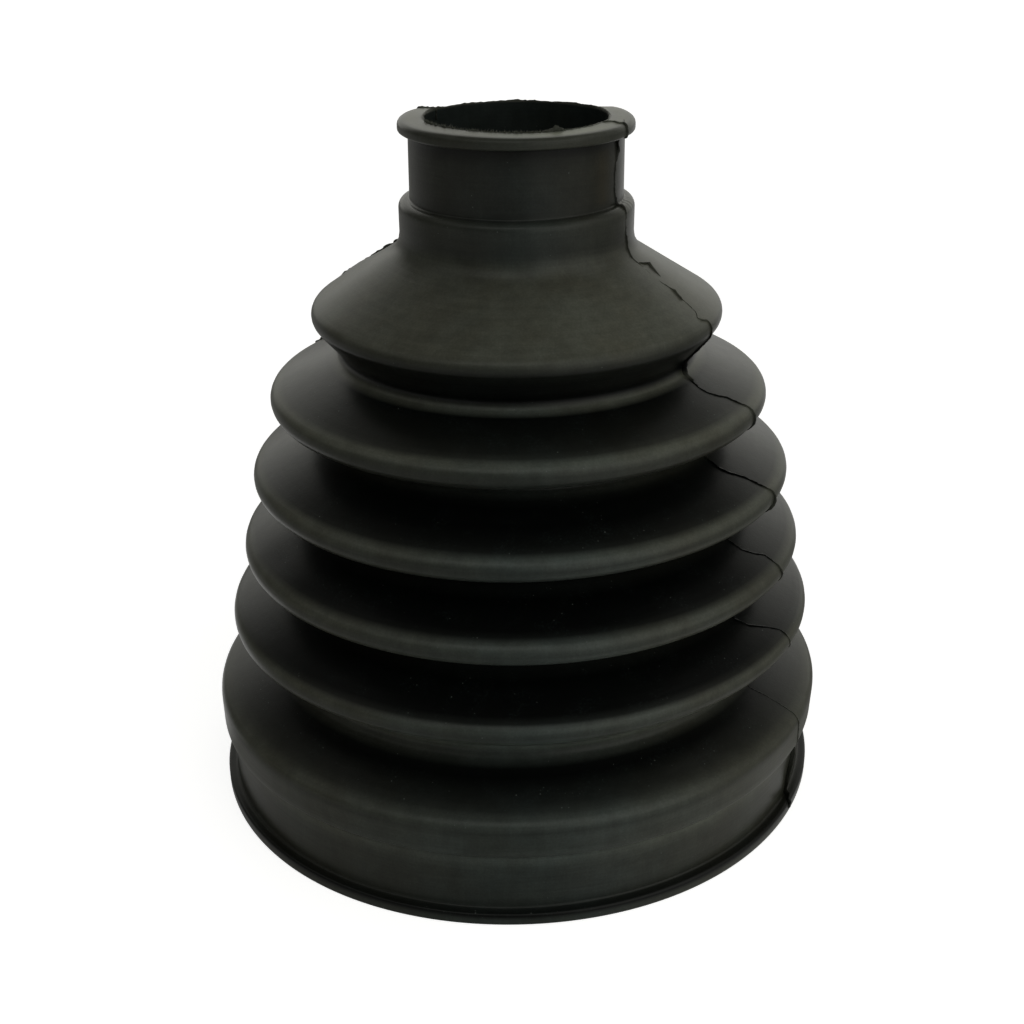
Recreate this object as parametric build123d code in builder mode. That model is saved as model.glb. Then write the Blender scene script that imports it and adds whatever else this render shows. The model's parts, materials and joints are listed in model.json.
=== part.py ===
from build123d import *

import os
from math import cos, radians, sin, tan

# A rubber bellows boot for a swivelling drive joint: one moulding, hollow from end to end.
# It stands on its large end. Z is the boot's axis, and the origin is the centre of the bottom lip.
# Sizes are millimetres. Heights build up from the bottom lip to the small end's rim.

# Large end: a plain bore, a wide clamp groove round it, a lip under the groove and a land above.
large_bore_diameter = 87.0
large_clamp_wall = 2.0
large_clamp_width = 9.35
lip_height = 1.9
lip_overhang = 1.5
land_overhang = 1.45
land_height = 5.1
land_flare = 0.2

# Small end: a plain bore, a clamp groove between the rim and the shoulder, and a cone below.
small_bore_diameter = 26.0
small_clamp_wall = 2.2
small_clamp_width = 9.55
rim_overhang = 1.45
rim_edge_height = 1.65
rim_crown = 0.2
shoulder_overhang = 1.6
shoulder_height = 6.75

# Folds, from the small end down. Crests and valleys are given where their two flanks would meet:
# how far the crest lies inside the large end's corner, the fall to it from the corner above,
# the depth from that crest to the valley under it, and the fall to the valley.
folds = [
    (16.25, 9.0, 5.5, 6.4),
    (6.15, 6.75, 14.0, 2.75),
    (2.95, 9.4, 14.7, 1.75),
    (1.65, 9.05, 13.05, 2.75),
    (1.0, 7.05, 9.85, 6.95),
]
last_flank_fall = 5.55
fold_wall = 1.6

# Roundings
crest_rounding = 1.8
valley_rounding = 1.3
cone_rounding = 3.6
shoulder_rounding = 1.4
rim_rounding = 0.78
edge_rounding = 0.4
inner_crest_rounding = 0.4

# Moulding flash: the thin line of rubber that the mould's two halves leave on opposite sides.
parting_angle = -25.0
flash_height = 0.35
flash_thickness = 0.4

large_bore_radius = large_bore_diameter / 2
large_groove_radius = large_bore_radius + large_clamp_wall
lip_radius = large_groove_radius + lip_overhang
land_radius = large_groove_radius + land_overhang
corner_radius = land_radius + land_flare
small_bore_radius = small_bore_diameter / 2
small_groove_radius = small_bore_radius + small_clamp_wall
rim_radius = small_groove_radius + rim_overhang
shoulder_radius = small_groove_radius + shoulder_overhang

groove_top = lip_height + large_clamp_width
corner_height = groove_top + land_height

# The core runs past both ends of the boot by this much, and two roundings together take no more
# than this share of the wall between them.
core_overrun = 2.0
rounding_share = 0.95


def bellows_corners():
    """(corner, rounding) from the large end's corner up to the foot of the shoulder.

    A rounding above 0 is on a corner that points outwards, and one below 0 is in a valley."""
    height = corner_height
    chain = [(Vector(corner_radius, height), crest_rounding)]
    fall_to_crest = last_flank_fall
    for crest_inset, crest_fall, depth, valley_fall in reversed(folds):
        crest_tip = corner_radius - crest_inset
        height += fall_to_crest
        chain.append((Vector(crest_tip - depth, height), -valley_rounding))
        height += valley_fall
        chain.append((Vector(crest_tip, height), crest_rounding))
        fall_to_crest = crest_fall
    height += fall_to_crest
    chain.append((Vector(shoulder_radius, height), -cone_rounding))
    return chain


def outer_corners(bellows):
    """(corner, rounding) over the whole outside, from the bottom lip up to the small bore."""
    shoulder_foot = bellows[-1][0]
    shoulder_top = shoulder_foot.Y + shoulder_height
    groove_end = shoulder_top + small_clamp_width
    rim_edge_top = groove_end + rim_edge_height
    large_end = [
        (Vector(lip_radius, 0), edge_rounding),
        (Vector(lip_radius, lip_height), edge_rounding),
        (Vector(large_groove_radius, lip_height), -edge_rounding),
        (Vector(large_groove_radius, groove_top), -edge_rounding),
        (Vector(land_radius, groove_top), edge_rounding),
    ]
    small_end = [
        (Vector(shoulder_radius, shoulder_top), shoulder_rounding),
        (Vector(small_groove_radius, shoulder_top), -edge_rounding),
        (Vector(small_groove_radius, groove_end), -edge_rounding),
        (Vector(rim_radius, groove_end), edge_rounding),
        (Vector(rim_radius, rim_edge_top), rim_rounding),
        (Vector(small_bore_radius, rim_edge_top + rim_crown), 0),
    ]
    return large_end + bellows + small_end


def moved_chain(chain, distance):
    """The chain's corners, but for its two ends, with every wall moved outwards by a distance."""
    moved = []
    for (before, _), (corner, rounding), (after, _) in zip(chain, chain[1:], chain[2:]):
        out_before = (corner - before).normalized().rotate(Axis.Z, -90)
        out_after = (after - corner).normalized().rotate(Axis.Z, -90)
        outward = (out_before + out_after).normalized()
        new_corner = corner + outward * (distance / outward.dot(out_before))
        new_rounding = rounding + distance
        if new_rounding * rounding <= 0:
            new_rounding = 0
        moved.append((new_corner, new_rounding))
    return moved


def run_to_radius(corner, direction, radius):
    """The point at a radius on the straight line that leaves a corner in a direction."""
    return corner + direction * ((radius - corner.X) / direction.X)


def draw_outline(chain):
    """A closed outline through the corners, its roundings cut back where a wall is too short."""
    points = [corner for corner, _ in chain]
    following = points[1:] + points[:1]
    reaches = []
    for before, corner, after in zip(points[-1:] + points[:-1], points, following):
        half_angle = radians((before - corner).get_angle(after - corner) / 2)
        reaches.append(tan(half_angle))
    radii = [abs(rounding) for _, rounding in chain]
    cut_back = [1.0] * len(points)
    for index, (corner, after) in enumerate(zip(points, following)):
        other = (index + 1) % len(points)
        taken = radii[index] / reaches[index] + radii[other] / reaches[other]
        if taken > 0:
            share = rounding_share * (after - corner).length / taken
            cut_back[index] = min(cut_back[index], share)
            cut_back[other] = min(cut_back[other], share)
    FilletPolyline(*points, radius=[r * cut for r, cut in zip(radii, cut_back)], close=True)


bellows = bellows_corners()
outside = outer_corners(bellows)
boot_height = outside[-1][0].Y
solid_outline = outside + [(Vector(0, boot_height), 0), (Vector(0, 0), 0)]

# The flash stands out from the whole outside, but not below the bottom of the lip.
flash_top = boot_height + flash_height
flash_outline = [
    (Vector(0, 0), 0),
    (Vector(lip_radius + flash_height, 0), 0),
    *moved_chain(outside, flash_height),
    (Vector(small_bore_radius, flash_top), 0),
    (Vector(0, flash_top), 0),
]

# The core leaves the bellows one wall thick and runs straight out through the two bores.
core_folds = [
    (corner, max(rounding, inner_crest_rounding) if rounding >= 0 else rounding)
    for corner, rounding in moved_chain(bellows, -fold_wall)
]
last_flank = bellows[0][0] - bellows[1][0]
cone = bellows[-1][0] - bellows[-2][0]
core_outline = [
    (Vector(0, -core_overrun), 0),
    (Vector(large_bore_radius, -core_overrun), 0),
    (run_to_radius(core_folds[0][0], last_flank, large_bore_radius), edge_rounding),
    *core_folds,
    (run_to_radius(core_folds[-1][0], cone, small_bore_radius), edge_rounding),
    (Vector(small_bore_radius, boot_height + core_overrun), 0),
    (Vector(0, boot_height + core_overrun), 0),
]

with BuildPart() as bellows_boot:
    with BuildSketch(Plane.XZ):
        with BuildLine():
            draw_outline(solid_outline)
        make_face()
    revolve(axis=Axis.Z)
    for angle in (parting_angle, parting_angle + 180):
        side = radians(angle)
        parting_plane = Plane(
            origin=(0, 0, 0),
            x_dir=(cos(side), sin(side), 0),
            z_dir=(sin(side), -cos(side), 0),
        )
        with BuildSketch(parting_plane):
            with BuildLine():
                draw_outline(flash_outline)
            make_face()
        extrude(amount=flash_thickness / 2, both=True)
    with BuildSketch(Plane.XZ):
        with BuildLine():
            draw_outline(core_outline)
        make_face()
    revolve(axis=Axis.Z, mode=Mode.SUBTRACT)

bellows_boot.part.label = "bellows_boot"

os.makedirs("parts", exist_ok=True)
export_step(bellows_boot.part, "parts/bellows_boot.step")
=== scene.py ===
import json
from math import pi, radians

import bmesh
import bpy
import numpy as np
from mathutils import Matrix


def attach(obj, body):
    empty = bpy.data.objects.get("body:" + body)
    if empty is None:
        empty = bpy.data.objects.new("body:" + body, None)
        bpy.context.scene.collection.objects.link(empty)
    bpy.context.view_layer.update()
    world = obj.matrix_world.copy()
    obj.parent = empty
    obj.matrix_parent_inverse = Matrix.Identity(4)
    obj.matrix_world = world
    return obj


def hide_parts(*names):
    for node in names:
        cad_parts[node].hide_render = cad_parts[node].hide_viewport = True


# A rubber bellows boot standing on its large end, on a pale floor in soft light.
# The boot's sizes are millimetres, which MM turns into the scene's metres.

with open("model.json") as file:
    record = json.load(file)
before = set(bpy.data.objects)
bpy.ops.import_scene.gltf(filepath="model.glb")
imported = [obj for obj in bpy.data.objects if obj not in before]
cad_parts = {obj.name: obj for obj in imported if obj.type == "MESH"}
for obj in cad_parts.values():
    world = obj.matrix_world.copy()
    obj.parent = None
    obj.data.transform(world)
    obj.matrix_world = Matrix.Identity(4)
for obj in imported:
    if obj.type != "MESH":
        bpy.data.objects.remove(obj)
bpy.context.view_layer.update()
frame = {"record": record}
MM = 0.001

mounts = {mount["name"]: mount for mount in frame["record"]["mounts"]}
SMALL_BORE = mounts["small_bore"]["dims"]["r_mm"]
LARGE_BORE = mounts["large_bore"]["dims"]["r_mm"]

# Large end: a clamp groove round the bore, a lip under the groove and a land above it.
LARGE_WALL = 2.0
LARGE_GROOVE_WIDTH = 9.35
LIP_OVERHANG = 1.5
LIP_HEIGHT = 1.9
LAND_OVERHANG = 1.45
LAND_HEIGHT = 5.1
LAND_FLARE = 0.2
LARGE_GROOVE = LARGE_BORE + LARGE_WALL
LIP_RADIUS = LARGE_GROOVE + LIP_OVERHANG
LAND_RADIUS = LARGE_GROOVE + LAND_OVERHANG
CORNER_RADIUS = LAND_RADIUS + LAND_FLARE
GROOVE_TOP = LIP_HEIGHT + LARGE_GROOVE_WIDTH
CORNER_HEIGHT = GROOVE_TOP + LAND_HEIGHT

# Small end: a clamp groove round the bore, between the shoulder and the rim.
SMALL_WALL = 2.2
SMALL_GROOVE_WIDTH = 9.55
SHOULDER_OVERHANG = 1.6
SHOULDER_HEIGHT = 6.75
RIM_OVERHANG = 1.45
RIM_EDGE = 1.65
RIM_CROWN = 0.2
SMALL_GROOVE = SMALL_BORE + SMALL_WALL
SHOULDER_RADIUS = SMALL_GROOVE + SHOULDER_OVERHANG
RIM_RADIUS = SMALL_GROOVE + RIM_OVERHANG

# Folds from the small end down: the crest's distance inside the large end's corner, the fall to
# it, the depth to the valley under it and the fall to that.
FOLDS = [
    (16.25, 9.0, 5.5, 6.4),
    (6.15, 6.75, 14.0, 2.75),
    (2.95, 9.4, 14.7, 1.75),
    (1.65, 9.05, 13.05, 2.75),
    (1.0, 7.05, 9.85, 6.95),
]
LAST_FALL = 5.55
WALL = 1.6

# Roundings. Two of them together take no more than a share of the wall between them.
CREST = 1.8
VALLEY = 1.3
CONE_FOOT = 3.6
SHOULDER_EDGE = 1.4
RIM_CORNER = 0.78
EDGE = 0.4
ROUNDING_SHARE = 0.95

# The front parting line's degrees round from +X. The other one is straight across from it.
PARTING = -25.0

# How far the soft boot leans towards +X, at equal steps of height from the lip to the rim.
LEAN = (0, 0.274, 1.08, 1.227, 0.933, 0.995, 1.164)

# How finely the boot is cut: the steps along its walls, the turns round its corners and the
# columns round its axis. Walls of many steps and small roundings keep a share of theirs.
SECTION_STEP = 1.3
SECTION_TURN = radians(16)
MANY_STEPS = 9
MANY_STEPS_SHARE = 0.62
SMALL_ROUNDING = 1.0
SMALL_ROUNDING_SHARE = 0.67
COLUMNS = 270

# How far past the bore's edge the flash runs down into the bore.
FLASH_END = 1.6


# ---------------------------------------------------------------- the boot's section

def bellows_corners():
    """(radius, height, rounding) from the large end's corner up to the shoulder's foot.

    A rounding above 0 is on a corner that points outwards, below 0 in a valley."""
    height = CORNER_HEIGHT
    chain = [(CORNER_RADIUS, height, CREST)]
    fall = LAST_FALL
    for inset, crest_fall, depth, valley_fall in reversed(FOLDS):
        tip = CORNER_RADIUS - inset
        height += fall
        chain.append((tip - depth, height, -VALLEY))
        height += valley_fall
        chain.append((tip, height, CREST))
        fall = crest_fall
    chain.append((SHOULDER_RADIUS, height + fall, -CONE_FOOT))
    return chain


def outer_corners():
    """(radius, height, rounding) over the outside from the bottom lip to the small bore."""
    chain = bellows_corners()
    shoulder_top = chain[-1][1] + SHOULDER_HEIGHT
    groove_end = shoulder_top + SMALL_GROOVE_WIDTH
    rim_top = groove_end + RIM_EDGE
    return [
        (LIP_RADIUS, 0.0, EDGE),
        (LIP_RADIUS, LIP_HEIGHT, EDGE),
        (LARGE_GROOVE, LIP_HEIGHT, -EDGE),
        (LARGE_GROOVE, GROOVE_TOP, -EDGE),
        (LAND_RADIUS, GROOVE_TOP, EDGE),
        *chain,
        (SHOULDER_RADIUS, shoulder_top, SHOULDER_EDGE),
        (SMALL_GROOVE, shoulder_top, -EDGE),
        (SMALL_GROOVE, groove_end, -EDGE),
        (RIM_RADIUS, groove_end, EDGE),
        (RIM_RADIUS, rim_top, RIM_CORNER),
    ]


def moved(chain, distance):
    """The chain's inner corners with every wall moved outwards by a distance.

    A corner moves along the line between its walls' normals, by the distance over the cosine of
    half its turn; an outward rounding grows by the distance and a valley's shrinks by it."""
    points = np.array([corner[:2] for corner in chain])
    along = np.diff(points, axis=0)
    along /= np.linalg.norm(along, axis=1, keepdims=True)
    out = np.column_stack([along[:, 1], -along[:, 0]])
    between = out[:-1] + out[1:]
    between /= np.linalg.norm(between, axis=1, keepdims=True)
    cosine = (between * out[:-1]).sum(axis=1, keepdims=True)
    places = points[1:-1] + between * distance / cosine
    rounds = np.array([corner[2] for corner in chain[1:-1]])
    rounds = np.where((rounds + distance) * rounds > 0, rounds + distance, 0.0)
    return [(r, z, rounding) for (r, z), rounding in zip(places, rounds)]


def inner_corners():
    """(radius, height, rounding) over the inside from the small bore down to the large one."""
    chain = bellows_corners()
    folds = moved(chain, -WALL)
    folds = [(r, z, max(rounding, EDGE) if rounding >= 0 else rounding) for r, z, rounding in folds]
    cone = np.subtract(chain[-1][:2], chain[-2][:2])
    last = np.subtract(chain[0][:2], chain[1][:2])
    top, bottom = folds[-1], folds[0]
    cone_z = top[1] + cone[1] * (SMALL_BORE - top[0]) / cone[0]
    last_z = bottom[1] + last[1] * (LARGE_BORE - bottom[0]) / last[0]
    return [(SMALL_BORE, cone_z, EDGE), *reversed(folds), (LARGE_BORE, last_z, EDGE)]


def outline(corners, walls, arcs):
    """Points round a closed outline of straight walls with rounded corners.

    Each corner's arc touches its two walls and is cut in equal turns, and the straight between
    two arcs is cut in equal steps. A corner with no arc is one point. Outlines with the same
    counts pair up point by point."""
    points = np.array([corner[:2] for corner in corners], float)
    to_before = np.roll(points, 1, axis=0) - points
    to_after = np.roll(points, -1, axis=0) - points
    length = np.linalg.norm(to_after, axis=1)
    to_before /= np.linalg.norm(to_before, axis=1, keepdims=True)
    to_after /= length[:, None]
    half = np.arccos(np.clip((to_before * to_after).sum(axis=1), -1, 1)) / 2
    reach = np.abs([corner[2] for corner in corners]) / np.tan(half)
    room = ROUNDING_SHARE * length / np.maximum(reach + np.roll(reach, -1), 1e-9)
    reach *= np.minimum(1, np.minimum(room, np.roll(room, 1)))
    starts = points + to_before * reach[:, None]
    ends = points + to_after * reach[:, None]
    middle = to_before + to_after
    middle /= np.linalg.norm(middle, axis=1, keepdims=True)
    centres = points + middle * (reach / np.cos(half))[:, None]
    radius = reach * np.tan(half)
    spots = []
    for k in range(len(points)):
        first, last = starts[k] - centres[k], ends[k] - centres[k]
        a, b = np.arctan2(first[1], first[0]), np.arctan2(last[1], last[0])
        turn = (b - a + pi) % (2 * pi) - pi
        angle = a + turn * np.linspace(0, 1, arcs[k] + 1)
        spots.append(centres[k] + radius[k] * np.column_stack([np.cos(angle), np.sin(angle)]))
        run = np.linspace(0, 1, walls[k] + 1)[1:-1, None]
        spots.append(ends[k] + (starts[(k + 1) % len(points)] - ends[k]) * run)
    return np.concatenate(spots)


def counts(corners, step, turn_step):
    """How many pieces each straight wall and each rounding of an outline is cut into."""
    points = np.array([corner[:2] for corner in corners], float)
    rounds = np.array([corner[2] for corner in corners])
    run = np.roll(points, -1, axis=0) - points
    slope = np.arctan2(run[:, 1], run[:, 0])
    turn = np.abs((slope - np.roll(slope, 1) + pi) % (2 * pi) - pi)
    walls = np.maximum(2, np.ceil(np.linalg.norm(run, axis=1) / step)).astype(int)
    arcs = np.where(rounds == 0, 0, np.maximum(3, np.ceil(turn / turn_step))).astype(int)
    return walls, arcs


def outward(path):
    """Unit normals on the outer side of a path of (radius, height) points that runs upwards."""
    along = np.gradient(path, axis=0)
    along /= np.linalg.norm(along, axis=1, keepdims=True)
    return np.column_stack([along[:, 1], -along[:, 0]])


def distance_down(path):
    """How far each point of a path is from the path's end, along the path."""
    steps = np.linalg.norm(np.diff(path, axis=0), axis=1)
    return np.append(np.cumsum(steps[::-1])[::-1], 0.0)


# ---------------------------------------------------------------- shared surface helpers

def smooth_waves(seed, across, along, reach, most, terms=12):
    """Gentle unevenness of size about 1: a sum of cosines with seeded directions and phases.

    across is an angle round the axis, so its cosines have whole numbers of waves, at most most.
    along is a length, whose waves are about as long as reach."""
    rng = np.random.default_rng(seed)
    total = 0
    for _ in range(terms):
        waves = rng.integers(1, most + 1)
        rate = rng.normal() * 2 * pi / reach
        total = total + rng.normal() * np.cos(waves * across + rate * along + rng.uniform(0, 2 * pi))
    return total / np.sqrt(terms / 2)


def bell(value, middle, reach):
    """1 at the middle, falling off alike on both sides: exp(-((value - middle) / reach) squared)."""
    return np.exp(-((value - middle) / reach) ** 2)


def by_table(value, table):
    """Straight lines between a table's rows of (value, result)."""
    return np.interp(value, *np.transpose(table))


def lean(height):
    """How far the soft boot leans towards +X at a height.

    Straight lines between the steps of LEAN, smoothed by a bell-shaped running mean."""
    stations = TOP * np.linspace(0, 1, len(LEAN))
    fine = np.linspace(-0.1 * TOP, 1.1 * TOP, 481)
    window = np.hanning(61)
    padded = np.pad(np.interp(fine, stations, LEAN), len(window) // 2, mode="edge")
    return np.interp(height, fine, np.convolve(padded, window / window.sum(), mode="valid"))


def round_the_axis(angle, radius, height):
    """Millimetre points at an angle, radius and height round the boot's leaning axis."""
    return np.stack([radius * np.cos(angle) + lean(height), radius * np.sin(angle),
                     height + 0 * angle], axis=-1)


def heading(place):
    """Degrees round the axis from +X, for points on the last axis of an array."""
    return np.degrees(np.arctan2(place[..., 1], place[..., 0]))


def rubber_piece(name, points, faces, film, dust, torn, cool):
    """A mesh of rubber on points in millimetres, with four numbers stored at each point.

    They are how thick its dull film is, which also paints highlights and shade, how dusty it is,
    how much rougher a torn face is and how much painted blue reflection the film shows."""
    mesh = bpy.data.meshes.new(name)
    mesh.from_pydata((points.reshape(-1, 3) * MM).tolist(), [], faces.tolist())
    mesh.polygons.foreach_set("use_smooth", np.ones(len(mesh.polygons), dtype=bool))
    for label, values in (("film", film), ("dust", dust), ("torn", torn), ("cool", cool)):
        layer = mesh.attributes.new(label, "FLOAT", "POINT")
        layer.data.foreach_set("value", np.broadcast_to(values, points.shape[:-1]).ravel())
    shape = bmesh.new()
    shape.from_mesh(mesh)
    bmesh.ops.remove_doubles(shape, verts=shape.verts, dist=1e-8)
    bmesh.ops.recalc_face_normals(shape, faces=shape.faces)
    shape.to_mesh(mesh)
    shape.free()
    piece = bpy.data.objects.new(name, mesh)
    bpy.context.scene.collection.objects.link(piece)
    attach(piece, "root")
    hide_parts("bellows_boot")
    return piece


def grid_piece(name, points, film, dust, torn, cool=0.1, closed_rows=False):
    """A closed piece of four-sided faces on a grid of points.

    The columns always join round. The rows join round too, or each end row meets in one point."""
    rows, columns = points.shape[:2]
    index = np.arange(rows * columns).reshape(rows, columns)
    down = np.concatenate([index, index[:1]]) if closed_rows else index
    net = np.concatenate([down, down[:, :1]], axis=1)
    quads = np.stack([net[:-1, :-1], net[1:, :-1], net[1:, 1:], net[:-1, 1:]], axis=-1)
    return rubber_piece(name, points, quads.reshape(-1, 4), film, dust, torn, cool)


# ---------------------------------------------------------------- the boot

outer = outer_corners()
TOP = outer[-1][1] + RIM_CROWN

# The bore's edge was trimmed by hand and keeps a ragged burr, which rises from these corners.
BURR = [
    (SMALL_BORE + 0.6, TOP - 0.03, 0.0),
    (SMALL_BORE + 0.2, TOP - 0.01, 0.0),
    (SMALL_BORE + 0.12, TOP + 0.01, 0.0),
    (SMALL_BORE + 0.02, TOP, 0.0),
    (SMALL_BORE - 0.04, TOP - 0.12, 0.0),
    (SMALL_BORE, TOP - 0.5, 0.0),
]

# Dents and swellings, each with its angle, radius, height, reach and push outwards.
LUMPS = [
    (-151.0, 39.5, 43.6, 3.2, -0.08),
    (-139.0, 40.6, 41.6, 3.6, 0.05),
    (166.0, 25.0, 79.2, 3.0, 0.35),
]

# How thick the dull film is on the outside, by distance down it from the bore's edge: partly a
# real film and partly painted light. It is thick where the rubber stands out into the light, its
# narrow peaks on the valleys and crests are painted highlights, and the folds' flanks stay bare,
# glossy and dark as painted shade.
FILM_AND_SHEEN = [
    (0, 0.6), (1, 1.55), (2, 1.85), (3, 0.65), (4, 0.45), (5, 0.55), (6, 0), (8, 0.24), (10, 0.3),
    (14, 0.27), (15, 0.17), (17, 0.43), (21, 0.29), (23, 0.7), (24, 0.68), (27, 0.89), (34, 1.03),
    (37, 1.04), (38, 0.97), (39, 0.48), (40, 0.13), (41, 0.16), (42, 0.07), (46, 0), (46.5, 0.03),
    (46.9, 0.6), (47.4, 1.1), (48, 0.45), (48.6, 0.02), (53, 0.08), (55.5, 0.16), (56.2, 0.3),
    (57, 1.05), (57.5, 1.15), (58, 1), (58.5, 0.65), (59, 0.46), (61, 0.4), (69, 0.25), (70, 0.4),
    (71, 0.02), (75, 0), (79, 0.06), (79.5, 0.45), (80, 0.85), (80.5, 1), (81, 0.9), (81.5, 0.6),
    (82, 0.45), (82.5, 0.65), (83, 0.8), (83.5, 0.6), (84.2, 0.3), (93, 0.08), (94, 0.14), (96, 0),
    (101.3, 0), (102, 0.1), (102.5, 0.5), (103, 0.85), (103.5, 0.95), (104, 0.75), (104.5, 0.55),
    (105, 0.65), (106, 1.2), (106.6, 0.9), (107.2, 0.5), (116, 0.12), (117, 0.01), (123.5, 0),
    (124, 0.15), (124.5, 0.6), (125, 1), (125.5, 0.72), (126, 0.55), (126.5, 0.65), (127, 1.1),
    (128, 1.9), (129, 1.4), (134, 1.4), (135, 2.1), (136, 0.6), (137, 0.62), (138, 0.07),
    (139, 0), (140, 0), (144, 0.18), (145, 0.35), (146, 0.7), (147, 0.86), (147.6, 0.68),
    (148.2, 0.52), (149, 0.74), (151, 0.66), (152, 0.84), (154, 0.95), (155, 1.5), (156, 0.6),
    (161, 0.5), (162, 0.42), (162.6, 0.2), (163.4, 0.12), (164.1, 0), (164.6, 0.5), (166, 0.75),
    (168, 0.8),
]

# How much of the painted blue reflection of the light in front the film shows, by distance down
# the outside: little on the cone.
PAINTED_TINT_SHARE = [
    (0, 0.3), (6, 0.3), (8, 0.8), (21, 0.8), (24, 0.1), (38, 0.1), (42, 0.6), (60, 0.6), (78, 0.9),
]


def film_and_sheen_at(down):
    """Film and painted light at a distance down the outside; inside the boot it is even."""
    return np.where(down < -0.3, 0.25, by_table(down, FILM_AND_SHEEN))


def painted_front_tint(place, down):
    """How much painted blue reflection of the light in front the film shows: most in the middle of
    the front, none beside the neck's seam.

    A bell over the heading, times the share at that distance down; the inside is all cool."""
    turn = heading(place)
    beside_seam = bell(turn, -35, 6) * (down > 7) * (down < 15)
    return np.where(down < -0.3, 1.0, bell(turn, -86, 27) * by_table(down, PAINTED_TINT_SHARE) - beside_seam)


def film_and_sheen_over(place, down):
    """The film's thickness all over: FILM_AND_SHEEN, times 1 and a few bells over the heading.

    They paint light and shade by heading: the film a little thicker on the right of the front and
    thinner on its left, and the rim's top palest on the right of the front and darkest on the
    left. The rough patch adds to it."""
    turn = heading(place)
    # Painted light and shade by heading, on the front and on the rim's top.
    more = 0.16 * bell(turn, -58, 24) - 0.08 * bell(turn, -112, 18)
    rim = 0.8 * bell(turn, -50, 22) + 0.45 * bell(turn, -88, 20) - 0.4 * bell(turn, -146, 12)
    on_rim_top = np.clip(2.9 - down, 0, 1)
    more = more + rim * on_rim_top
    on_patch = np.exp(-((turn + 12) / 8) ** 2 - ((down - 16.2) / 0.8) ** 2)
    return film_and_sheen_at(down) * (1 + more * (down > 0)) + 0.5 * on_patch


def dust_at(down):
    """How much dust lies there: most on the flanks, where little film hides it."""
    return np.where(down < -0.5, 0.1, 0.75 - 0.6 * np.clip(film_and_sheen_at(down), 0, 1))


def boot_section():
    """The section as a closed ring of points, with each one's distance down the outside.

    Past the bore's edge, on the inside, that distance is below 0. The crests are cut finest, and
    long flanks, valleys and small edges more coarsely, and the inside most coarsely."""
    outside = outer + BURR
    corners = outside + inner_corners() + [(LARGE_BORE, 0.0, EDGE)]
    walls, arcs = counts(corners, SECTION_STEP, SECTION_TURN)
    walls = np.where(walls > MANY_STEPS, (walls * MANY_STEPS_SHARE).astype(int) + 1, walls)
    small = np.array([corner[2] for corner in corners]) < SMALL_ROUNDING
    arcs = np.where(small, (arcs * SMALL_ROUNDING_SHARE + 0.5).astype(int), arcs)
    inside = slice(len(outside) - 1, None)
    walls[inside] = np.maximum(1, walls[inside] // 2)
    arcs[inside] = np.where(arcs[inside] > 0, np.maximum(3, arcs[inside] // 2), 0)
    section = outline(corners, walls, arcs)
    steps = np.linalg.norm(np.diff(section, axis=0), axis=1)
    along = np.append(0.0, np.cumsum(steps))
    edge = np.argmin(np.hypot(section[:, 0] - SMALL_BORE, section[:, 1] - TOP))
    return section, along[edge] - along


def boot_points(section):
    """The whole boot as a closed grid: angle round the axis by distance along its section.

    The columns are drawn together near the parting line. Each point of the section moves along
    its normal by gentle waves, by a bell-shaped push near each lump and by the rough patch. The
    burr's points rise by a ragged height and sway in and out, and the rim sinks by its slant."""
    ring = np.linspace(0, 2 * pi, COLUMNS, endpoint=False)
    angle = ring - 0.3 * np.sin(ring) + radians(PARTING)
    normal = outward(section)
    a, r = np.meshgrid(angle, section[:, 0], indexing="ij")
    z = np.broadcast_to(section[:, 1], a.shape)
    push = 0.045 * smooth_waves(3, a, z, 60.0, 5)
    place = round_the_axis(a, r, z)
    for lump_angle, lump_radius, lump_height, reach, size in LUMPS:
        at = np.array(radians(lump_angle))
        centre = round_the_axis(at, lump_radius, lump_height)
        apart = np.linalg.norm(place - centre, axis=-1)
        push = push + size * bell(apart, 0, reach)
    push = push + rough_patch(a, r, z)
    edge_gap = np.hypot(section[:, 0] - SMALL_BORE - 0.06, section[:, 1] - TOP)
    near_edge = np.clip(1.3 - edge_gap / 0.12, 0, 1)
    rise = near_edge * ragged_edge(a) - trimmed_slant(a, r, z)
    sway = near_edge * 0.07 * smooth_waves(14, a, 0 * a, 1.0, 60)
    height = np.maximum(z + push * normal[:, 1] + rise, 0)
    return round_the_axis(a, r + push * normal[:, 0] + sway, height)


def trimmed_slant(angle, radius, height):
    """How much is trimmed off the rim at the back, more towards its outer edge."""
    turn = np.degrees(angle) % 360
    at_back = 1 / (1 + np.exp((np.abs(turn - 92) - 56) / 2.5))
    outwards = np.clip((radius - SMALL_BORE) / (RIM_RADIUS - SMALL_BORE), 0, 1)
    near_top = np.clip((height - (TOP - 1.6)) / 1.2, 0, 1)
    return at_back * near_top * (0.12 + 0.62 * outwards)


def ragged_edge(angle):
    """Height of the burr round the small bore: tall at the back, low at the front, and jagged."""
    back = 0.5 + 0.5 * np.sin(angle)
    rough = 0
    for seed, waves in ((11, 9), (12, 30), (13, 80)):
        rough = rough + np.abs(smooth_waves(seed, angle, 0 * angle, 1.0, waves)) / 3
    return (0.04 + 0.13 * back) * rough


def rough_patch(angle, radius, height):
    """A torn, lumpy patch on the top of the shoulder, just past the parting line."""
    turn = np.degrees(angle) % 360 - 360
    inside = np.exp(-((turn + 12) / 9) ** 2 - ((height - 90.6) / 0.9) ** 2)
    inside = inside * (radius > SMALL_GROOVE - 0.2)
    lumps = smooth_waves(21, angle, height + radius, 1.6, 90, 16)
    return 0.02 * inside * (0.6 + lumps)


section, section_down = boot_section()
from_edge = np.abs(section_down + 0.1)
boot_grid = boot_points(section)
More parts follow.
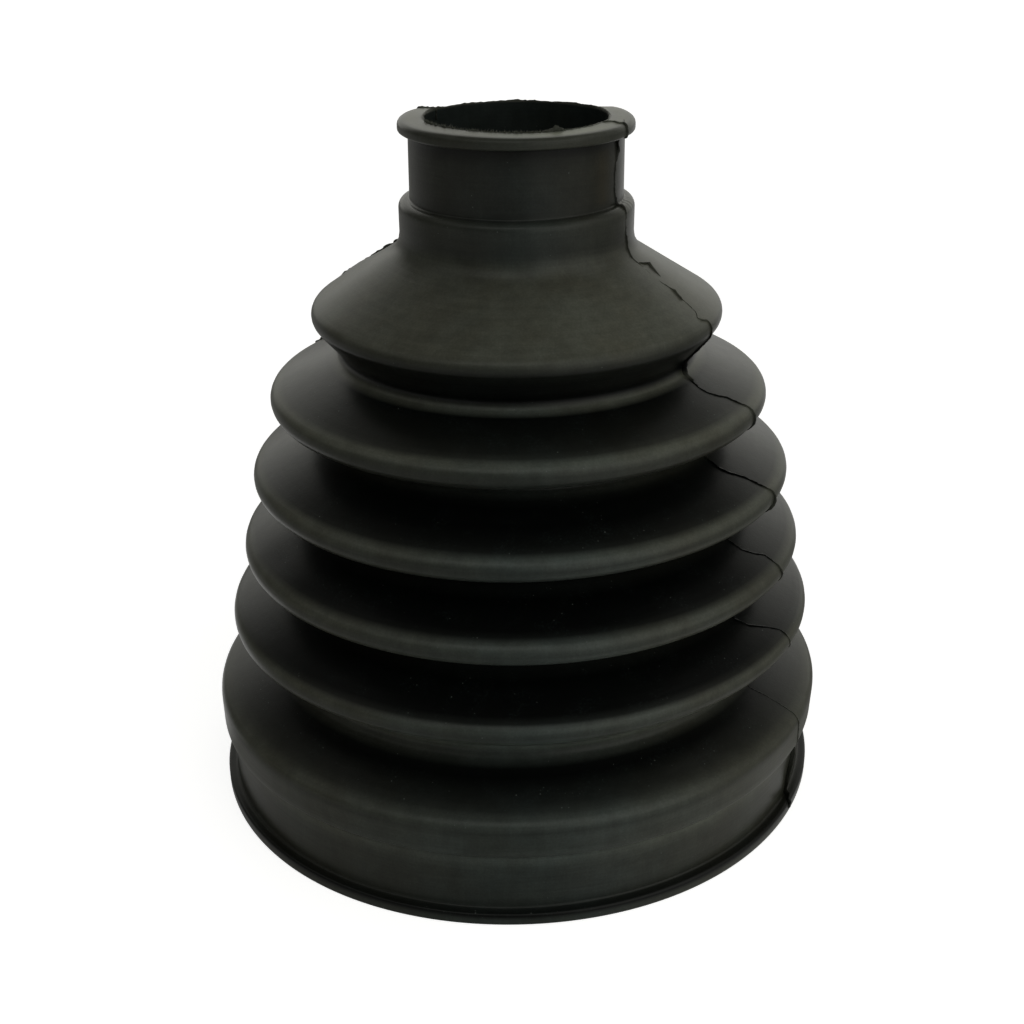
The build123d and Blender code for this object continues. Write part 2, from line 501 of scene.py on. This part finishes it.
# Its film stores painted highlights and shade as well as a dull film, and cool a painted blue
# reflection.
boot = grid_piece("bellows_boot_rubber", boot_grid, film=film_and_sheen_over(boot_grid, section_down),
                  dust=dust_at(section_down), torn=0.3 * np.clip(1 - from_edge / 0.4, 0, 1),
                  cool=painted_front_tint(boot_grid, section_down), closed_rows=True)


# ---------------------------------------------------------------- flash on the parting line

def ribs(path, top, angle, height, width, tip_sway):
    """A fin that stands on a path of (radius, height) points, as a closed grid.

    At each point its cross-section is a narrow closed loop: from below the surface up one side
    to the tip and down the other. Sideways is round the axis, and up runs from the path towards
    the top path, by the height's share. Both ends close in a point."""
    side = np.array([-0.5, -0.45, -0.28, 0.0, 0.28, 0.45, 0.5])
    up = np.array([-0.3, 0.2, 0.8, 1.0, 0.8, 0.2, -0.3])
    rise = np.where(up > 0, up * height[:, None], up)
    ends = np.ones(len(path))
    ends[[0, -1]] = 0
    spot = path[:, None] + (top - path)[:, None] * rise[..., None] * ends[:, None, None]
    shift = side * width[:, None] + np.clip(up, 0, 1) ** 2 * tip_sway[:, None]
    turn = angle[:, None] + shift * ends[:, None] / spot[..., 0]
    return round_the_axis(turn, spot[..., 0], np.maximum(spot[..., 1], 0))


def fin_paths(step):
    """The outside's surface path from the lip into the bore, the same path 1 mm out, and how far
    down the outside from the bore's edge each point is.

    Out there the valleys have wider roundings, so a fin fills their corners like a web. A corner
    well inside closes both outlines, and only their part over the outside is kept."""
    bottom = TOP - FLASH_END
    surface = outer + [(SMALL_BORE, TOP, EDGE), (SMALL_BORE, bottom, EDGE)]
    far = [(LIP_RADIUS + 1.0, 0.0, EDGE), *moved(surface, 1.0), (SMALL_BORE - 1.0, bottom, EDGE)]
    far = [(r, z, rounding if base[2] > 0 else base[2] - 1.1)
           for (r, z, rounding), base in zip(far, surface)]
    closing = [(5.0, 50.0, EDGE)]
    walls, arcs = counts(surface + closing, step, radians(7))
    count = (arcs[:len(surface)] + 1).sum() + (walls[:len(surface) - 1] - 1).sum()
    paths = [outline(corners + closing, walls, arcs)[:count] for corners in (surface, far)]
    return *paths, distance_down(paths[0]) - FLASH_END


# The front fin: distance down the outside from the bore's edge, degrees from the parting
# line, and height.
FRONT_FIN = [
    (-1.6, -1.0, 0.1), (0.0, 0.0, 0.22), (0.5, 4.5, 0.25), (0.9, 5.7, 0.22), (2.0, 3.5, 0.28),
    (2.6, 4.0, 0.3), (3.3, 2.2, 0.32), (3.7, 1.6, 0.3), (4.6, 1.0, 0.26), (5.2, 0.6, 0.12),
    (6.3, 0.8, 0.4), (7.0, 1.8, 0.5), (7.8, 2.0, 0.46), (8.5, 1.2, 0.3), (9.3, 0.5, 0.18),
    (10.9, -1.2, 0.2), (12.1, -0.7, 0.16), (13.2, -1.1, 0.24), (14.4, 0.0, 0.3),
    (15.6, 1.2, 0.4), (16.4, 1.5, 0.34), (17.0, 1.4, 0.25), (17.9, 0.8, 0.18), (19.3, 0.6, 0.16),
    (20.4, 0.8, 0.26), (21.4, 2.0, 0.4), (22.6, 1.6, 0.34), (23.9, 1.6, 0.26), (24.8, 2.2, 0.2),
    (26.0, 2.4, 0.1), (27.0, 1.8, 0.1), (28.3, 1.3, 0.1), (29.4, 1.8, 0.16), (30.6, 2.4, 0.2),
    (31.2, 2.4, 0.4), (32.9, 0.8, 0.4), (33.4, 1.4, 0.14), (34.9, 0.8, 0.14), (35.7, 0.4, 0.12),
    (36.6, -2.0, 0.2), (37.3, -1.4, 0.36), (37.8, 0.6, 0.38), (38.4, 0.8, 0.34),
    (39.3, 0.8, 0.32), (40.2, 1.2, 0.34), (41.5, 0.8, 0.36), (43.5, -0.6, 0.42),
    (45.2, -1.6, 0.4), (46.4, -2.0, 0.46), (47.6, -2.6, 0.48), (49.0, -3.6, 0.36),
    (50.2, -4.2, 0.34), (51.5, -3.9, 0.3), (52.7, -2.4, 0.32), (53.7, -0.7, 0.34),
    (55.3, 0.1, 0.38), (56.9, 0.8, 0.36), (57.9, 0.8, 0.34), (58.6, 0.9, 0.3), (59.4, 0.7, 0.3),
    (60.6, 0.9, 0.3), (61.5, 0.7, 0.36), (62.0, 0.4, 0.6), (62.5, 0.2, 0.4), (63.2, 0.0, 0.3),
    (66.0, -2.6, 0.3), (68.4, -4.6, 0.4), (70.6, -5.6, 0.36), (72.8, -5.4, 0.28),
    (74.2, -4.3, 0.26), (76.0, -2.0, 0.26), (77.9, -0.8, 0.26), (80.3, 0.3, 0.28),
    (81.5, 1.0, 0.3), (82.6, 0.6, 0.34), (84.0, 0.3, 0.46), (84.6, 0.2, 0.75),
    (85.2, 0.0, 0.45), (86.2, -0.4, 0.3), (91.0, -4.0, 0.3), (94.0, -5.4, 0.36),
    (97.6, -4.8, 0.26), (99.3, -2.8, 0.24), (100.6, -0.7, 0.24), (102.6, -0.8, 0.28),
    (103.5, -0.9, 0.48), (104.2, -0.7, 0.36), (105.1, 0.0, 0.26), (106.6, 0.0, 0.32),
    (107.6, 0.0, 0.42), (108.0, 0.0, 0.7), (108.6, -0.2, 0.4), (109.6, -0.4, 0.28),
    (114.0, -5.0, 0.3), (117.0, -8.0, 0.34), (119.2, -6.5, 0.22), (121.4, -3.0, 0.2),
    (123.2, -1.0, 0.22), (124.7, -1.1, 0.24), (125.8, -0.8, 0.26), (127.0, 0.2, 0.3),
    (128.6, 0.2, 0.4), (129.2, 0.2, 0.66), (130.0, 0.0, 0.45), (131.0, -0.2, 0.3),
    (134.0, -2.0, 0.3), (136.3, -2.6, 0.34), (138.6, -2.2, 0.2), (141.4, -1.2, 0.12),
    (143.0, -0.8, 0.13), (144.6, -0.5, 0.16), (145.9, -0.4, 0.2), (147.0, -0.6, 0.24),
    (148.2, -0.4, 0.28), (149.0, 0.0, 0.28), (150.6, 0.3, 0.22), (152.0, 0.6, 0.22),
    (153.2, 1.0, 0.26), (154.2, 2.0, 0.36), (155.8, 4.8, 0.6), (157.4, 4.0, 0.75),
    (158.6, 2.6, 0.8), (159.5, 1.6, 0.7), (161.3, 1.1, 0.6), (162.8, 0.2, 0.55),
    (163.6, -1.6, 0.4), (164.4, -1.8, 0.3),
    (165.6, -1.6, 0.3), (166.8, -1.6, 0.2),
]

# What share of its height the front fin keeps, and how wide it is, by distance down the outside.
FIN_SHARE = [(46, 0.8), (50, 0.55), (84, 0.6), (92, 0.35), (152, 0.5), (154, 1)]
FIN_WIDTH = [(47, 0.22), (50, 0.16), (152, 0.16), (156, 0.22)]


def front_fin():
    """The fin along the parting line at the front, thick at its root and ragged along its tip.

    Its tallest stretches, but for its webs, lie over to one side."""
    surface, far, down = fin_paths(0.25)
    table = np.array(FRONT_FIN)
    rough = smooth_waves(31, 0 * down, down, 1.4, 1, 20)
    slow = smooth_waves(32, 0 * down, down, 5.0, 1, 20)
    angle = np.radians(np.interp(down, table[:, 0], table[:, 1]) + PARTING)
    angle = angle + 0.03 * rough / surface[:, 0]
    height = np.interp(down, table[:, 0], table[:, 2]) * by_table(down, FIN_SHARE) + 0.02 * rough
    in_web = np.abs(far - surface).max(axis=1) >= 1.5
    over = np.clip(height - 0.45, 0, 0.5) * ~in_web
    fin = ribs(surface, far, angle, np.maximum(height, 0.05), by_table(down, FIN_WIDTH),
               0.06 * slow - 0.7 * over)
    return fin, down[:, None]


def back_fin():
    """The fin on the far side: even and low, with webs across the valleys."""
    surface, far, down = fin_paths(0.6)
    rough = smooth_waves(35, 0 * down, down, 1.4, 1, 20)
    slow = smooth_waves(36, 0 * down, down, 14.0, 1, 16)
    angle = radians(PARTING + 180) + (0.5 * slow + 0.03 * rough) / surface[:, 0]
    height = 0.28 + 0.06 * rough + 0.08 * slow
    web = np.linalg.norm(far - surface, axis=1) - 1.0
    height = height * (1 + 1.2 * np.clip(web, 0, 1.2))
    fin = ribs(surface, far, angle, np.maximum(height, 0.08), 0.24 + 0 * down, 0.08 * slow)
    return fin, down[:, None]


# Loose slivers beside the front fin, in rows like the fin's own.
SLIVERS = {
    "cone_sliver": [(24.5, 2.0, 0.1), (25.0, 3.6, 0.26), (25.4, 6.2, 0.34), (25.7, 8.8, 0.4),
                    (26.3, 7.2, 0.36), (27.3, 6.2, 0.26), (28.0, 5.8, 0.16), (28.8, 5.3, 0.05)],
    "rim_sliver": [(1.9, 15.5, 0.05), (2.1, 13.0, 0.2), (2.4, 9.0, 0.2), (2.7, 4.0, 0.1)],
}


def sliver(table):
    """A short fin beside the parting line, cut from the same two paths."""
    surface, far, down = fin_paths(0.3)
    table = np.array(table)
    part = (down >= table[0, 0]) & (down <= table[-1, 0])
    angle = np.radians(np.interp(down, table[:, 0], table[:, 1]) + PARTING)[part]
    height = np.interp(down, table[:, 0], table[:, 2])[part]
    fin = ribs(surface[part], far[part], angle, height, 0.16 + 0 * height, 0.3 * height)
    return fin, down[part][:, None]


fins = {"front_flash": front_fin(), "back_flash": back_fin()}
fins.update({name: sliver(table) for name, table in SLIVERS.items()})
flash = [grid_piece(name, fin, film=0.8 * film_and_sheen_at(down), dust=0.1, torn=0.1)
         for name, (fin, down) in fins.items()]


# ---------------------------------------------------------------- the torn edge of the bore

# How tall the tag stands above the bore's edge, by its share of the tag's length.
TAG_HEIGHT = [
    (0, 0.05), (0.15, 0.2), (0.3, 0.25), (0.45, 0.45), (0.55, 0.8), (0.7, 0.5), (0.85, 0.3), (1, 0.05),
]

WHISKERS = 700


def torn_tag():
    """A small ragged tag of rubber left standing on the front of the bore's edge.

    Its rows run along the edge. In each, a loop goes up the outside, over the torn top and down
    the inside, and both ends close in a point."""
    along = np.linspace(0, 1, 25)
    angle = np.radians(-73 + 15 * along)
    ragged = 1 + 0.15 * smooth_waves(41, 0 * along, along, 0.16, 1, 16)
    tall = by_table(along, TAG_HEIGHT) * ragged
    out = np.array([0.16, 0.14, 0.1, 0.0, -0.1, -0.14])
    up = np.array([-0.5, 0.3, 0.8, 1.0, 0.8, -0.4])
    ends = np.ones(len(along))
    ends[[0, -1]] = 0
    sway = 0.2 * smooth_waves(42, 0 * along, along, 0.5, 1, 12)
    radius = SMALL_BORE + 0.1 + (out + np.clip(up, 0, 1) * sway[:, None]) * ends[:, None]
    height = TOP + np.where(up > 0, up * tall[:, None], up) * ends[:, None]
    return round_the_axis(np.broadcast_to(angle[:, None], radius.shape), radius, height)


def torn_whiskers(count):
    """Fine whiskers that stand on the bore's torn edge: thin three-sided spikes.

    Each has its root on the front of the edge at a seeded angle, and a tip that leans out or in
    and along the edge by seeded amounts."""
    rng = np.random.default_rng(51)
    angle = radians(-98) + radians(62) * rng.uniform(-1, 1, count)
    clump = np.abs(smooth_waves(52, angle, 0 * angle, 0.25, 1, 20))
    long = rng.uniform(0.1, 1, count) ** 2 * (0.12 + 0.4 * np.minimum(clump, 1)) + 0.05
    thick = 0.05 + 0.07 * rng.uniform(size=count)
    turn = rng.uniform(0, 2 * pi, count)[:, None] + 2 * pi / 3 * np.arange(3)
    radius = SMALL_BORE + rng.uniform(-0.02, 0.3, count)
    base_angle = angle[:, None] + thick[:, None] * np.cos(turn) / SMALL_BORE
    base_radius = radius[:, None] + thick[:, None] * np.sin(turn)
    tip_angle = angle + rng.normal(size=count) * 0.8 * long / SMALL_BORE
    tip_radius = radius - 0.25 * long + rng.normal(size=count) * 0.5 * long
    root_height = np.full((count, 3), TOP - 0.06)
    return round_the_axis(np.column_stack([base_angle, tip_angle]),
                          np.column_stack([base_radius, tip_radius]),
                          np.column_stack([root_height, TOP + long]))


def whisker_faces(count):
    """The four triangles of each whisker, over its three root points and its tip."""
    four = np.array([(0, 2, 1), (0, 1, 3), (1, 2, 3), (2, 0, 3)])
    return (4 * np.arange(count)[:, None, None] + four).reshape(-1, 3)


tag = grid_piece("torn_tag", torn_tag(), film=0.6, dust=0.1, torn=0.3)
whiskers = rubber_piece("torn_whiskers", torn_whiskers(WHISKERS), whisker_faces(WHISKERS),
                        film=1.3, dust=0.0, torn=0.3, cool=0.2)
rubber_pieces = [boot, tag, whiskers, *flash]


# ---------------------------------------------------------------- rubber

# The bare rubber, the film where it is olive, whose thickness also paints highlights and shade,
# the blue-green that paints a reflection of the bluish light in front, and the dust.
BARE = (0.0009, 0.0013, 0.0012, 1)
OLIVE = (0.0595, 0.0612, 0.0475, 1)
BLUE_GREEN_REFLECTION = (0.0500, 0.0615, 0.0570, 1)
BLOOM = (0.018, 0.026, 0.025, 1)
SPECK = (0.085, 0.095, 0.09, 1)
GLOSS = 0.15


def node(tree, kind, **settings):
    """A new node with its settings."""
    made = tree.nodes.new(kind)
    for key, value in settings.items():
        setattr(made, key, value)
    return made


def feed(tree, socket, value):
    """Link a socket to another node's output, or give it a plain value."""
    if isinstance(value, bpy.types.NodeSocket):
        tree.links.new(value, socket)
    else:
        socket.default_value = value


def number(tree, operation, first, second=0.0, clamp=False):
    """The result of one sum on two numbers."""
    made = node(tree, "ShaderNodeMath", operation=operation, use_clamp=clamp)
    feed(tree, made.inputs[0], first)
    feed(tree, made.inputs[1], second)
    return made.outputs[0]


def stretched(tree, place, by):
    """A place with each of its three coordinates multiplied by its own number."""
    made = node(tree, "ShaderNodeVectorMath", operation="MULTIPLY")
    feed(tree, made.inputs[0], place)
    feed(tree, made.inputs[1], by)
    return made.outputs[0]


def soft_step(tree, value, low, high, start=0.0, end=1.0):
    """A number eased from start to end while value goes from low to high."""
    made = node(tree, "ShaderNodeMapRange", interpolation_type="SMOOTHSTEP")
    for label, setting in (("Value", value), ("From Min", low), ("From Max", high),
                           ("To Min", start), ("To Max", end)):
        feed(tree, made.inputs[label], setting)
    return made.outputs["Result"]


def mixed(tree, share, first, second):
    """Two colours mixed, all first at share 0 and all second at share 1, and on past both.

    The node's colours are its inputs 6 and 7 and its output 2."""
    made = node(tree, "ShaderNodeMix", data_type="RGBA", clamp_factor=False)
    feed(tree, made.inputs[0], share)
    feed(tree, made.inputs[6], first)
    feed(tree, made.inputs[7], second)
    return made.outputs[2]


def clouds(tree, place, size, detail=3.0, rough=0.55):
    """Cloudy unevenness from 0 to 1, with clouds of about this many millimetres."""
    made = node(tree, "ShaderNodeTexNoise")
    feed(tree, made.inputs["Vector"], place)
    made.inputs["Scale"].default_value = 1 / size
    made.inputs["Detail"].default_value = detail
    made.inputs["Roughness"].default_value = rough
    return made.outputs["Fac"]


def stored(tree, name):
    """A number that a piece's vertices carry."""
    return node(tree, "ShaderNodeAttribute", attribute_name=name).outputs["Fac"]


def begin_group(name, inputs, outputs):
    """An empty node group with its sockets, given as (label, kind, usual value) and (label, kind)."""
    tree = bpy.data.node_groups.new(name, "ShaderNodeTree")
    for label, kind, usual in inputs:
        tree.interface.new_socket(label, in_out="INPUT", socket_type=kind).default_value = usual
    for label, kind in outputs:
        tree.interface.new_socket(label, in_out="OUTPUT", socket_type=kind)
    return tree, node(tree, "NodeGroupInput"), node(tree, "NodeGroupOutput")


def use_group(tree, group, given):
    """A group placed in a tree, with what is given to each of its inputs by label."""
    made = node(tree, "ShaderNodeGroup", node_tree=group)
    for label, value in given.items():
        feed(tree, made.inputs[label], value)
    return made.outputs


def moulded_surface():
    """The look of moulded rubber, as one colour, one roughness and one bumped normal.

    Colour: near black, with a thin dull film over it, whose thickness also paints highlights and
    shade. The film is as thick as the piece says, times slow clouds and fine vertical and turned
    streaks, and it is olive, or blue-green where the piece asks for the painted reflection of the
    bluish light in front. Then come a bloom of the finest dust and single pale specks, both in
    drifts. Roughness: the bare gloss, duller under film and dust, with clouds. Normal: slow
    waviness, mould grain and fine turned lines."""
    number_kind, colour_kind, vector_kind = "NodeSocketFloat", "NodeSocketColor", "NodeSocketVector"
    tree, given, result = begin_group(
        "moulded_rubber_surface",
        [("Film", number_kind, 0.5), ("Dust", number_kind, 0.3), ("Gloss Loss", number_kind, 0.0),
         ("Coolness", number_kind, 0.0)],
        [("Colour", colour_kind), ("Roughness", number_kind), ("Normal", vector_kind)])
    place = stretched(tree, node(tree, "ShaderNodeTexCoord").outputs["Object"], (1000,) * 3)
    slow = clouds(tree, place, 9.0)
    patches = clouds(tree, place, 2.6)
    grain = clouds(tree, place, 0.32, 2.0, 0.6)
    upright = clouds(tree, stretched(tree, place, (1, 1, 0.09)), 0.9)
    turned = clouds(tree, stretched(tree, place, (0.03, 0.03, 1)), 0.42, 2.0)

    worn = number(tree, "ADD", number(tree, "MULTIPLY", slow, 0.5),
                  number(tree, "MULTIPLY", patches, 0.5))
    worn = soft_step(tree, worn, 0.3, 0.7, 0.82, 1.18)
    streaks = number(tree, "ADD", soft_step(tree, upright, 0.4, 0.85, 0.98, 1.12),
                     soft_step(tree, turned, 0.3, 0.75, -0.07, 0.07))
    fleck = soft_step(tree, grain, 0.3, 0.72, 0.92, 1.09)
    # The film's thickness also carries painted highlights and painted shade.
    film = number(tree, "MULTIPLY", number(tree, "MULTIPLY", given.outputs["Film"], worn),
                  number(tree, "MULTIPLY", streaks, fleck))
    # The blue-green share paints a reflection of the bluish light in front, with some random tone.
    cool = soft_step(tree, slow, 0.3, 0.7, -0.15, 0.15)
    cool = number(tree, "ADD", cool, given.outputs["Coolness"])
    covered = mixed(tree, film, BARE, mixed(tree, cool, OLIVE, BLUE_GREEN_REFLECTION))

    cells = node(tree, "ShaderNodeTexVoronoi", feature="F1")
    feed(tree, cells.inputs["Vector"], place)
    cells.inputs["Scale"].default_value = 2.1
    chance = node(tree, "ShaderNodeSeparateColor")
    feed(tree, chance.inputs[0], cells.outputs["Color"])
    size = soft_step(tree, chance.outputs[0], 0.3, 1.0, 0.05, 0.22)
    drift = number(tree, "MULTIPLY", soft_step(tree, clouds(tree, place, 4.5), 0.44, 0.66),
                   given.outputs["Dust"])
    here = number(tree, "LESS_THAN", chance.outputs[1], drift)
    speck = number(tree, "SUBTRACT", size, cells.outputs["Distance"])
    speck = number(tree, "MULTIPLY", soft_step(tree, speck, -0.03, 0.08), here)
    speck = number(tree, "MULTIPLY", speck, number(tree, "POWER", chance.outputs[2], 2.0))
    bloom = number(tree, "MULTIPLY", soft_step(tree, grain, 0.5, 0.72), drift)
    bloom = number(tree, "MULTIPLY", bloom, soft_step(tree, film, 0.1, 0.5, 0.45, 0.0))
    dusted = mixed(tree, speck, mixed(tree, bloom, covered, BLOOM), SPECK)
    feed(tree, result.inputs["Colour"], dusted)

    dull = number(tree, "ADD", soft_step(tree, patches, 0.3, 0.7, 0.28, 0.3),
                  number(tree, "MULTIPLY", film, 0.04))
    dull = number(tree, "ADD", dull, number(tree, "MULTIPLY", speck, 0.3))
    dull = number(tree, "ADD", dull, given.outputs["Gloss Loss"], clamp=True)
    feed(tree, result.inputs["Roughness"], dull)

    relief = number(tree, "ADD", number(tree, "MULTIPLY", patches, 0.02),
                    number(tree, "MULTIPLY", grain, 0.01))
    relief = number(tree, "ADD", relief, number(tree, "MULTIPLY", turned, 0.016))
    bump = node(tree, "ShaderNodeBump")
    bump.inputs["Strength"].default_value = 1.0
    bump.inputs["Distance"].default_value = MM
    feed(tree, bump.inputs["Height"], relief)
    feed(tree, result.inputs["Normal"], bump.outputs["Normal"])
    return tree


def rubber_material(name, surface, gloss, carried):
    """A rubber: a surface group, and by the label of each of its inputs, the name of the number
    that the piece's vertices carry for it."""
    material = bpy.data.materials.new(name)
    material.use_nodes = True
    tree = material.node_tree
    given = {label: stored(tree, layer) for label, layer in carried.items()}
    made = use_group(tree, surface, given)
    shader = tree.nodes["Principled BSDF"]
    feed(tree, shader.inputs["Base Color"], made["Colour"])
    feed(tree, shader.inputs["Roughness"], made["Roughness"])
    feed(tree, shader.inputs["Normal"], made["Normal"])
    shader.inputs["Specular IOR Level"].default_value = gloss
    return material


moulded = rubber_material("moulded_rubber", moulded_surface(), GLOSS,
                          {"Film": "film", "Dust": "dust", "Gloss Loss": "torn", "Coolness": "cool"})
for piece in rubber_pieces:
    piece.data.materials.append(moulded)


# ---------------------------------------------------------------- floor, light and camera

# Windows of light round the boot: degrees round from +X, half a width in degrees, and
# brightness. The rubber's gloss sees the floor's, and NEAR_WINDOW only close to the boot. The
# panels stand low in the surroundings.
FLOOR_WINDOWS = [(225, 30, 0.13), (315, 30, 0.31), (64, 14, 0.38), (152, 20, 0.1)]
NEAR_WINDOW = (156, 24, 0.45)
PANELS = [(315, 30, 1.06), (12, 20, 0.4), (87, 46, 0.86)]
WINDOW_EASE = 10
SURROUNDINGS = 0.12

# Soft lamps: place, width and depth in metres, and brightness.
SOFTBOXES = {
    "front_softbox": ((0, -0.72, 0.9), 1.08, 0.66, 1.02),
    "left_softbox": ((-0.99, -0.5, 0.9), 0.9, 1.45, 0.39),
    "right_softbox": ((0.99, -0.5, 0.9), 0.9, 1.45, 0.72),
    "back_softbox": ((0, 0.77, 0.9), 1.08, 0.63, 0.28),
}

# How far down the camera looks, in radians.
CAMERA_TILT = 0.399


def all_windows(tree, place, windows):
    """The sum of several windows of light, at a point or in a direction."""
    total = 0.0
    for window in windows:
        total = number(tree, "ADD", window_round(tree, place, *window), total)
    return total


def window_round(tree, place, middle, half, height):
    """Height within half a width of a heading round the boot's axis, easing to 0 outside it.

    The step runs over the cosine of the angle from the heading. Headings are degrees round from
    +X, and place is a point or a direction."""
    parts = node(tree, "ShaderNodeSeparateXYZ")
    feed(tree, parts.inputs[0], place)
    angle = number(tree, "ARCTAN2", parts.outputs["Y"], parts.outputs["X"])
    apart = number(tree, "COSINE", number(tree, "SUBTRACT", angle, radians(middle)))
    outer_edge = float(np.cos(radians(half + WINDOW_EASE)))
    inner_edge = float(np.cos(radians(max(half - WINDOW_EASE, 2))))
    return soft_step(tree, apart, outer_edge, inner_edge, 0.0, height)


def floor_piece():
    """A wide plain pale floor that the boot stands on.

    It takes the boot's shadow, and the camera sees a white added to it, fuller far from the boot.
    The rubber's gloss sees some white on it too, in windows round the boot."""
    side = 6.0
    mesh = bpy.data.meshes.new("floor")
    corners = [(-side, -side, 0), (side, -side, 0), (side, side, 0), (-side, side, 0)]
    mesh.from_pydata(corners, [], [(0, 1, 2, 3)])
    piece = bpy.data.objects.new("floor", mesh)
    bpy.context.scene.collection.objects.link(piece)
    material = bpy.data.materials.new("pale_floor")
    material.use_nodes = True
    tree = material.node_tree
    shader = tree.nodes["Principled BSDF"]
    shader.inputs["Base Color"].default_value = (0.62, 0.62, 0.62, 1)
    shader.inputs["Roughness"].default_value = 1.0
    shader.inputs["Specular IOR Level"].default_value = 0.0
    shader.inputs["Emission Color"].default_value = (1, 1, 1, 1)
    place = node(tree, "ShaderNodeTexCoord").outputs["Object"]
    reach = node(tree, "ShaderNodeVectorMath", operation="LENGTH")
    feed(tree, reach.inputs[0], place)
    away = reach.outputs["Value"]
    near = number(tree, "MULTIPLY", window_round(tree, place, *NEAR_WINDOW),
                  soft_step(tree, away, 0.09, 0.16, 1.0, 0.0))
    mirrored = number(tree, "ADD", near, all_windows(tree, place, FLOOR_WINDOWS))
    ray = node(tree, "ShaderNodeLightPath").outputs
    white = number(tree, "MULTIPLY", ray["Is Camera Ray"], soft_step(tree, away, 0.4, 1.2, 0.8, 1.0))
    mirrored = number(tree, "MULTIPLY", ray["Is Glossy Ray"], mirrored)
    feed(tree, shader.inputs["Emission Strength"], number(tree, "ADD", white, mirrored))
    mesh.materials.append(material)
    return piece


def softbox(name, place, width, depth, brightness):
    """A large soft lamp that hangs level at a place.

    A flat lamp gives pi times its brightness for each square metre."""
    lamp = bpy.data.lights.new(name, "AREA")
    lamp.shape = "RECTANGLE"
    lamp.size, lamp.size_y = width, depth
    lamp.energy = brightness * pi * width * depth
    lamp.color = (1.0, 1.0, 0.95)
    piece = bpy.data.objects.new(name, lamp)
    piece.location = place
    piece.visible_camera = False
    bpy.context.scene.collection.objects.link(piece)
    return piece


def studio_world():
    """Dim even surroundings with the panels low in them; the camera sees plain white.

    A panel is an eased window in the angle round the boot, and all end at one eased height."""
    world = bpy.data.worlds.new("studio")
    bpy.context.scene.world = world
    world.use_nodes = True
    tree = world.node_tree
    direction = node(tree, "ShaderNodeTexCoord").outputs["Generated"]
    height = node(tree, "ShaderNodeSeparateXYZ")
    feed(tree, height.inputs[0], direction)
    low_down = soft_step(tree, height.outputs["Z"], 0.47, 0.66, 1.0, 0.0)
    glow = number(tree, "MULTIPLY", all_windows(tree, direction, PANELS), low_down)
    glow = number(tree, "ADD", glow, SURROUNDINGS)
    seen = node(tree, "ShaderNodeLightPath").outputs["Is Camera Ray"]
    feed(tree, tree.nodes["Background"].inputs["Strength"],
         number(tree, "MAXIMUM", glow, seen))
    feed(tree, tree.nodes["Background"].inputs["Color"],
         mixed(tree, seen, (1.0, 1.0, 0.93, 1), (1, 1, 1, 1)))


floor_piece()
for name, settings in SOFTBOXES.items():
    softbox(name, *settings)
studio_world()

# The camera stands in front of the boot and a little above it, and looks down at its middle.
camera_data = bpy.data.cameras.new("camera")
camera_data.lens = 52.65
camera_data.sensor_width = 36.0
camera_data.shift_x = -0.0615
camera_data.shift_y = -0.0508
camera_data.clip_start = 0.01
camera_data.clip_end = 50.0
camera = bpy.data.objects.new("camera", camera_data)
camera.location = (9.342 * MM, -211.536 * MM, 138.804 * MM)
camera.rotation_euler = (pi / 2 - CAMERA_TILT, 0.0, 0.0)
bpy.context.scene.collection.objects.link(camera)
bpy.context.scene.camera = camera
bpy.context.scene.view_settings.view_transform = "Standard"
